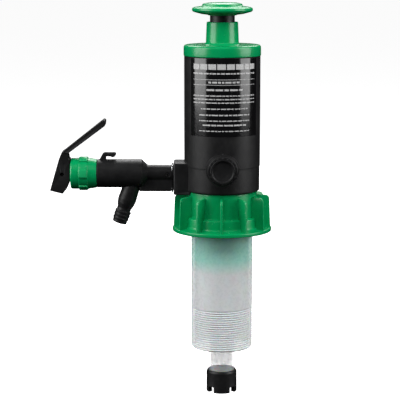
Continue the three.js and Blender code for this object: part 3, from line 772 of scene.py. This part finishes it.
def make_siphon_foot(black):
    """A cup on the end of the siphon, with four notches that let liquid in."""
    low, high = (v / MM for v in span("siphon_foot", Z))
    outer = span("siphon_foot", X)[1] / MM
    foot = turned("siphon_shoe", [
        (10.6, low, 0.4), (outer, low, 0.6), (outer, high - 2, 1.0), (outer - 1.2, high, 0.5),
        (12.8, high), (12.8, low + 12), (10.6, low + 12),
    ], True, SMALL_ROUND * 2)
    for i in range(2):
        notch = block("notch", (-20, -3.5, low - 2), (20, 3.5, low + 6))
        soften(notch, 1.2, 30, 4)
        notch.data.transform(Matrix.Rotation(math.radians(45 + 90 * i), 4, "Z"))
        cut(foot, notch)
    complete(foot, "pump", ["siphon_foot"], black)


# ---- Tap ----------------------------------------------------------------------------------------

SPOUT_TILT = math.radians(19)
# Places in millimetres, X from the pump's axis.
SPOUT_X = -84.3
SHANK_END = -47.34
SCREW_X = -53.1
SCREW_Z = 172.9
PADS = 6


def on_spout_axis():
    """The spout's own frame: height 0 on the tap's axis, growing down the spout."""
    turn = Matrix.Rotation(math.pi + SPOUT_TILT, 4, "Y")
    return Matrix.Translation((SPOUT_X * MM, 0, tap_z)) @ turn


def make_tap(black):
    """A barrel and its shank, with a web under the shank, an angled ribbed spout and a hook on top."""
    z = tap_z / MM
    barrel = turned("tap_shell", [
        (0, -140), (11.6, -140, 0.5), (11.6, -122.2), (13.9, -122.2, 0.6), (13.9, -78.5, 1.2),
        (12.4, -77.2, 1.0), (8.5, -73, 1.0), (8.4, SHANK_END), (0, SHANK_END),
    ], False, ROUND, on_tap_axis())
    web = block("web", (-81, -6.5, 156.2), (SHANK_END, 6.5, z))
    soften(web, 1.4, 30, 4)
    spout = turned("spout", [
        (0, 4), (8.2, 4), (8.6, 20, 4), (9.0, 27, 4), (8.4, 31.5, 4), (6.9, 36.2, 1.4), (6.9, 38.8, 0.4),
        (8.2, 39.3, 0.3), (7.3, 42.3, 0.4), (8.1, 43.0, 0.3), (7.2, 45.9, 0.4), (7.9, 46.6, 0.3),
        (7.0, 49.2, 0.4), (7.2, 50, 0.3), (6.8, 51.6, 0.5), (0, 51.6),
    ], False, SMALL_ROUND * 2, on_spout_axis())
    hook = prism("hook", [
        (-120.6, z + 11), (-120.6, z + 12.6, 1), (-116.8, 193.0, 1.2), (-115, 194.1, 1),
        (-104.4, 194.1, 0.8), (-103.4, 192.4, 0.6), (-104.8, 190.3, 0.5), (-107, 189.3, 0.8),
        (-108.8, 190.3, 0.8), (-113.4, 190.5, 0.8), (-113.7, z + 12, 0.6), (-113.7, z + 11),
    ], 7)
    soften(hook, 0.8, 35, 3)
    join(barrel, web, spout, hook)
    bore = turned("bore", [
        (0, -142), (10, -142), (10, -80), (5, -78.6), (5, -68), (6.7, -68), (6.7, -46), (0, -46),
    ], False, SMALL_ROUND, on_tap_axis())
    spout_bore = turned("spout_bore", [
        (0, 6), (5, 6), (5, 60), (0, 60),
    ], False, SMALL_ROUND, on_spout_axis())
    screw_hole = along_y("screw_hole", 2.1, SCREW_X, SCREW_Z, -12, -5)
    above = block("above", (-49.7, -20, z + 7.5), (-47.5, 20, z + 12))
    below = block("below", (-49.7, -20, 150), (-47.5, 20, 157.9))
    cut(barrel, bore, spout_bore, screw_hole, above, below)
    cast(barrel, 0.36, 3)
    complete(barrel, "pump", ["tap_body"], black, 50)


def make_tap_nut(green):
    """The nut on the barrel's end, with a raised band and grip pads round it."""
    nut = turned("tap_nut_shell", [
        (4.1, -148, 0.4), (14.3, -148, 0.9), (15.2, -146.8, 0.6), (15.3, -139.8, 0.3), (16.0, -139.2, 0.4),
        (16.0, -131.6, 0.5), (15.3, -130.9, 0.6), (13.9, -122.5, 0.6), (11.9, -122.5), (11.9, -140.4),
        (4.1, -140.4),
    ], True, ROUND, on_tap_axis())
    for i in range(PADS):
        pad = block("pad", (-139.6, -4.0, 14.6), (-131.4, 4.0, 16.9))
        soften(pad, 0.7, 30, 3)
        turn = Matrix.Rotation(math.radians(360 / PADS * i + 24), 4, "X")
        pad.data.transform(Matrix.Translation((0, 0, tap_z)) @ turn)
        join(nut, pad)
    complete(nut, "pump", ["tap_nut"], green, 40)


def make_lever(black):
    """An arm with a slot for the stem, and a thumb handle that slants back over the tap."""
    head = prism("lever_arm", [
        (-154.0, 196.4, 1.0), (-150.4, 193.2, 0.6), (-149.6, 188.6, 0.5), (-148.6, 187.8, 0.4),
        (-148.6, 168.6, 2), (-149.8, 164.2, 2), (-152.1, 158.7, 2), (-155.8, 154.3, 0.8),
        (-168.2, 157.4, 0.8), (-159, 188.4, 3), (-156.1, 195.2, 1.5),
    ], 18)
    handle = prism("handle", [
        (-155.2, 195.4, 0.6), (-115.2, 226.75, 0.9), (-113.45, 225.2, 1.0), (-113.9, 220.9, 1.4),
        (-149.6, 194.2, 0.5),
    ], 20)
    join(head, handle)
    slot = block("slot", (-161.8, -2.8, tap_z / MM - 8.5), (-140, 2.8, tap_z / MM + 15))
    hole = along_y("hole", 2.0, pivot.x / MM, pivot.z / MM, -20, 20)
    cut(head, slot, hole)
    soften(head, 0.45, 35, 3)
    complete(head, "lever", ["lever"], black)


def make_pin(black):
    """The pin that the lever turns on."""
    left, right = span("lever_pin", X)
    r = (right - left) / 2 / MM
    y0, y1 = (v / MM for v in span("lever_pin", Y))
    place = Matrix.Translation((pivot.x, 0, pivot.z)) @ TO_FRONT
    pin = turned("pivot_pin", [
        (0, -y1), (r, -y1, 0.4), (r, -y0, 0.4), (0, -y0),
    ], False, 48, place)
    complete(pin, "lever", ["lever_pin"], black)


def bent(corners, radius, steps=6):
    """A route through corners, with a round bend at each one between its ends."""
    route = [corners[0]]
    for before, here, after in zip(corners, corners[1:], corners[2:]):
        start = here + (before - here).normalized() * radius
        end = here + (after - here).normalized() * radius
        for k in range(steps + 1):
            t = k / steps
            route.append(start * (1 - t) ** 2 + here * (2 * t * (1 - t)) + end * t ** 2)
    route.append(corners[-1])
    return route


def wire(name, route, radius, across, sides=20):
    """A round wire along a route that runs square, or nearly so, to the direction across."""
    bm = bmesh.new()
    angles = [2 * math.pi * k / sides for k in range(sides)]
    last = len(route) - 1
    rings = []
    for i, point in enumerate(route):
        ahead = (route[min(i + 1, last)] - route[max(i - 1, 0)]).normalized()
        up = ahead.cross(across)
        section = [across * math.cos(a) + up * math.sin(a) for a in angles]
        rings.append([bm.verts.new(point + radius * spoke) for spoke in section])
    for one, two in zip(rings, rings[1:]):
        for k in range(sides):
            m = (k + 1) % sides
            bm.faces.new([one[k], one[m], two[m], two[k]])
    bm.faces.new(rings[0])
    bm.faces.new(rings[-1][::-1])
    return from_bmesh(name, bm)


def make_clip(steel):
    """A round wire bent to a U around the shank, its tips turned in."""
    low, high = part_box("retaining_clip")
    radius = 0.78 * MM
    x = (low.x + high.x) / 2
    top = high.z - radius
    bottom = low.z + radius
    back = high.y - radius
    front = low.y + radius
    tip = 4.1 * MM
    route = [
        (front, top - tip), (front, top), (back, top),
        (back, bottom), (front, bottom), (front, bottom + tip),
    ]
    corners = [Vector((x, y, z)) for y, z in route]
    clip = wire("clip_wire", bent(corners, 2.6 * MM), radius, Vector((1, 0, 0)))
    complete(clip, "pump", ["retaining_clip"], steel, 50)


def make_spring(steel):
    """The coil between the tap nut and the stem's collar, built at one length; on the real tap it shortens as the
    lever pulls the stem out.
    """
    low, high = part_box("tap_spring")
    radius = 0.8 * MM
    mean = (high.y - low.y) / 2 - radius
    start = low.x + radius
    end = high.x - radius
    turns = 6
    steps = 28
    route = []
    for i in range(turns * steps + 1):
        turn = i / steps
        # The first and last turns lie nearly flat, as a ground spring's do.
        along = min(1, max(0, (turn - 0.8) / (turns - 1.6)))
        creep = 0.04 * turn / turns
        x = start + (end - start) * (0.96 * along + creep)
        a = 2 * math.pi * turn
        route.append(Vector((x, mean * math.cos(a), tap_z + mean * math.sin(a))))
    spring = wire("coil_spring", route, radius, Vector((1, 0, 0)), 12)
    complete(spring, "pump", ["tap_spring"], steel, 60)
    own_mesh(spring)


def make_screw(black):
    """A grub screw with a hexagon socket, in the side of the shank."""
    place = Matrix.Translation((SCREW_X * MM, 0, SCREW_Z * MM)) @ TO_FRONT
    screw = turned("grub_screw", [(0, 6.7), (1.7, 6.7), (1.7, 8.1, 0.3), (0, 8.1)], False, 32, place)
    socket = turned("socket", [(0, 7.3), (0.95, 7.3), (0.95, 9), (0, 9)], False, 6, place)
    cut(screw, socket)
    complete(screw, "pump", ["shank_screw"], black)


# ---- The scene ----------------------------------------------------------------------------------

bpy.context.scene.view_settings.view_transform = "Standard"
make_camera()
make_world()
make_floor()
softbox("left_softbox", azimuth=-70, distance=1.25, height=0.66, width=1.05, tall=1.2, power=18)
softbox("right_softbox", azimuth=72, distance=1.25, height=0.66, width=0.9, tall=1.2, power=15)
softbox("front_softbox", azimuth=0, distance=1.1, height=1.7, width=1.3, tall=0.9, power=26, reflected=False)
softbox("back_softbox", azimuth=180, distance=1.1, height=1.3, width=1.4, tall=1.0, power=22)

finishes = {
    "green_plastic": green_plastic("green_plastic"),
    "black_plastic": black_plastic(),
    "natural_plastic": natural_plastic("natural_plastic", 0.5),
    "rubber": rubber(),
    "stainless": stainless(),
    "label_film": label_film(),
}
# The sleeve round the green cylinder is painted green like it, as painted light, so that the green comes through
# the extension.
# Painted light: the sleeve's green stands for the cylinder's colour carried through the milky walls.
sleeve_painted_green = natural_plastic("sleeve_plastic_painted_green", 0.5, (0.40, 0.82, 0.70), (0.44, 0.86, 0.74))
for part in frame["record"]["subparts"]:
    node = frame["nodes"][part["node"]]
    finish = sleeve_painted_green if part["node"] == "riser_sleeve" else finishes[part["material_slot"]]
    if node.material_slots:
        for place in node.material_slots:
            place.material = finish
    else:
        node.data.materials.append(finish)

make_body(finishes["black_plastic"])
make_port_plug(finishes["black_plastic"])
make_label(finishes["label_film"])
make_print(label_ink())
make_cap(finishes["green_plastic"])
make_knob(finishes["green_plastic"])
make_rod(finishes["black_plastic"])
make_union_nut(finishes["green_plastic"])
# The extension is painted green above the cylinder's foot: painted light for the green cylinder seen through it.
extension_plastic = natural_plastic(
    "extension_plastic", 0.72, (0.78, 0.81, 0.82), (0.84, 0.87, 0.88), painted_core_light=(0.46, 0.86, 0.76))
make_extension(extension_plastic)
siphon_plastic = natural_plastic("siphon_plastic", 0.3, (0.80, 0.82, 0.83), (0.86, 0.88, 0.89))
make_pipe("siphon_pipe", "siphon_tube", 1.9, siphon_plastic)
# The cylinder gets a much lighter copy of the moulding's green: painted light, making up for the light that the
# milky walls hold back.
green_painted_light = green_plastic("green_plastic_painted_light", (0.01, 0.74, 0.52), (0.02, 0.80, 0.58))
make_pipe("cylinder_pipe", "air_cylinder", 2.0, green_painted_light)
make_siphon_foot(finishes["black_plastic"])
make_tap(finishes["black_plastic"])
make_tap_nut(finishes["green_plastic"])
make_lever(finishes["black_plastic"])
make_pin(finishes["black_plastic"])
make_clip(finishes["stainless"])
make_spring(finishes["stainless"])
make_screw(finishes["black_plastic"])
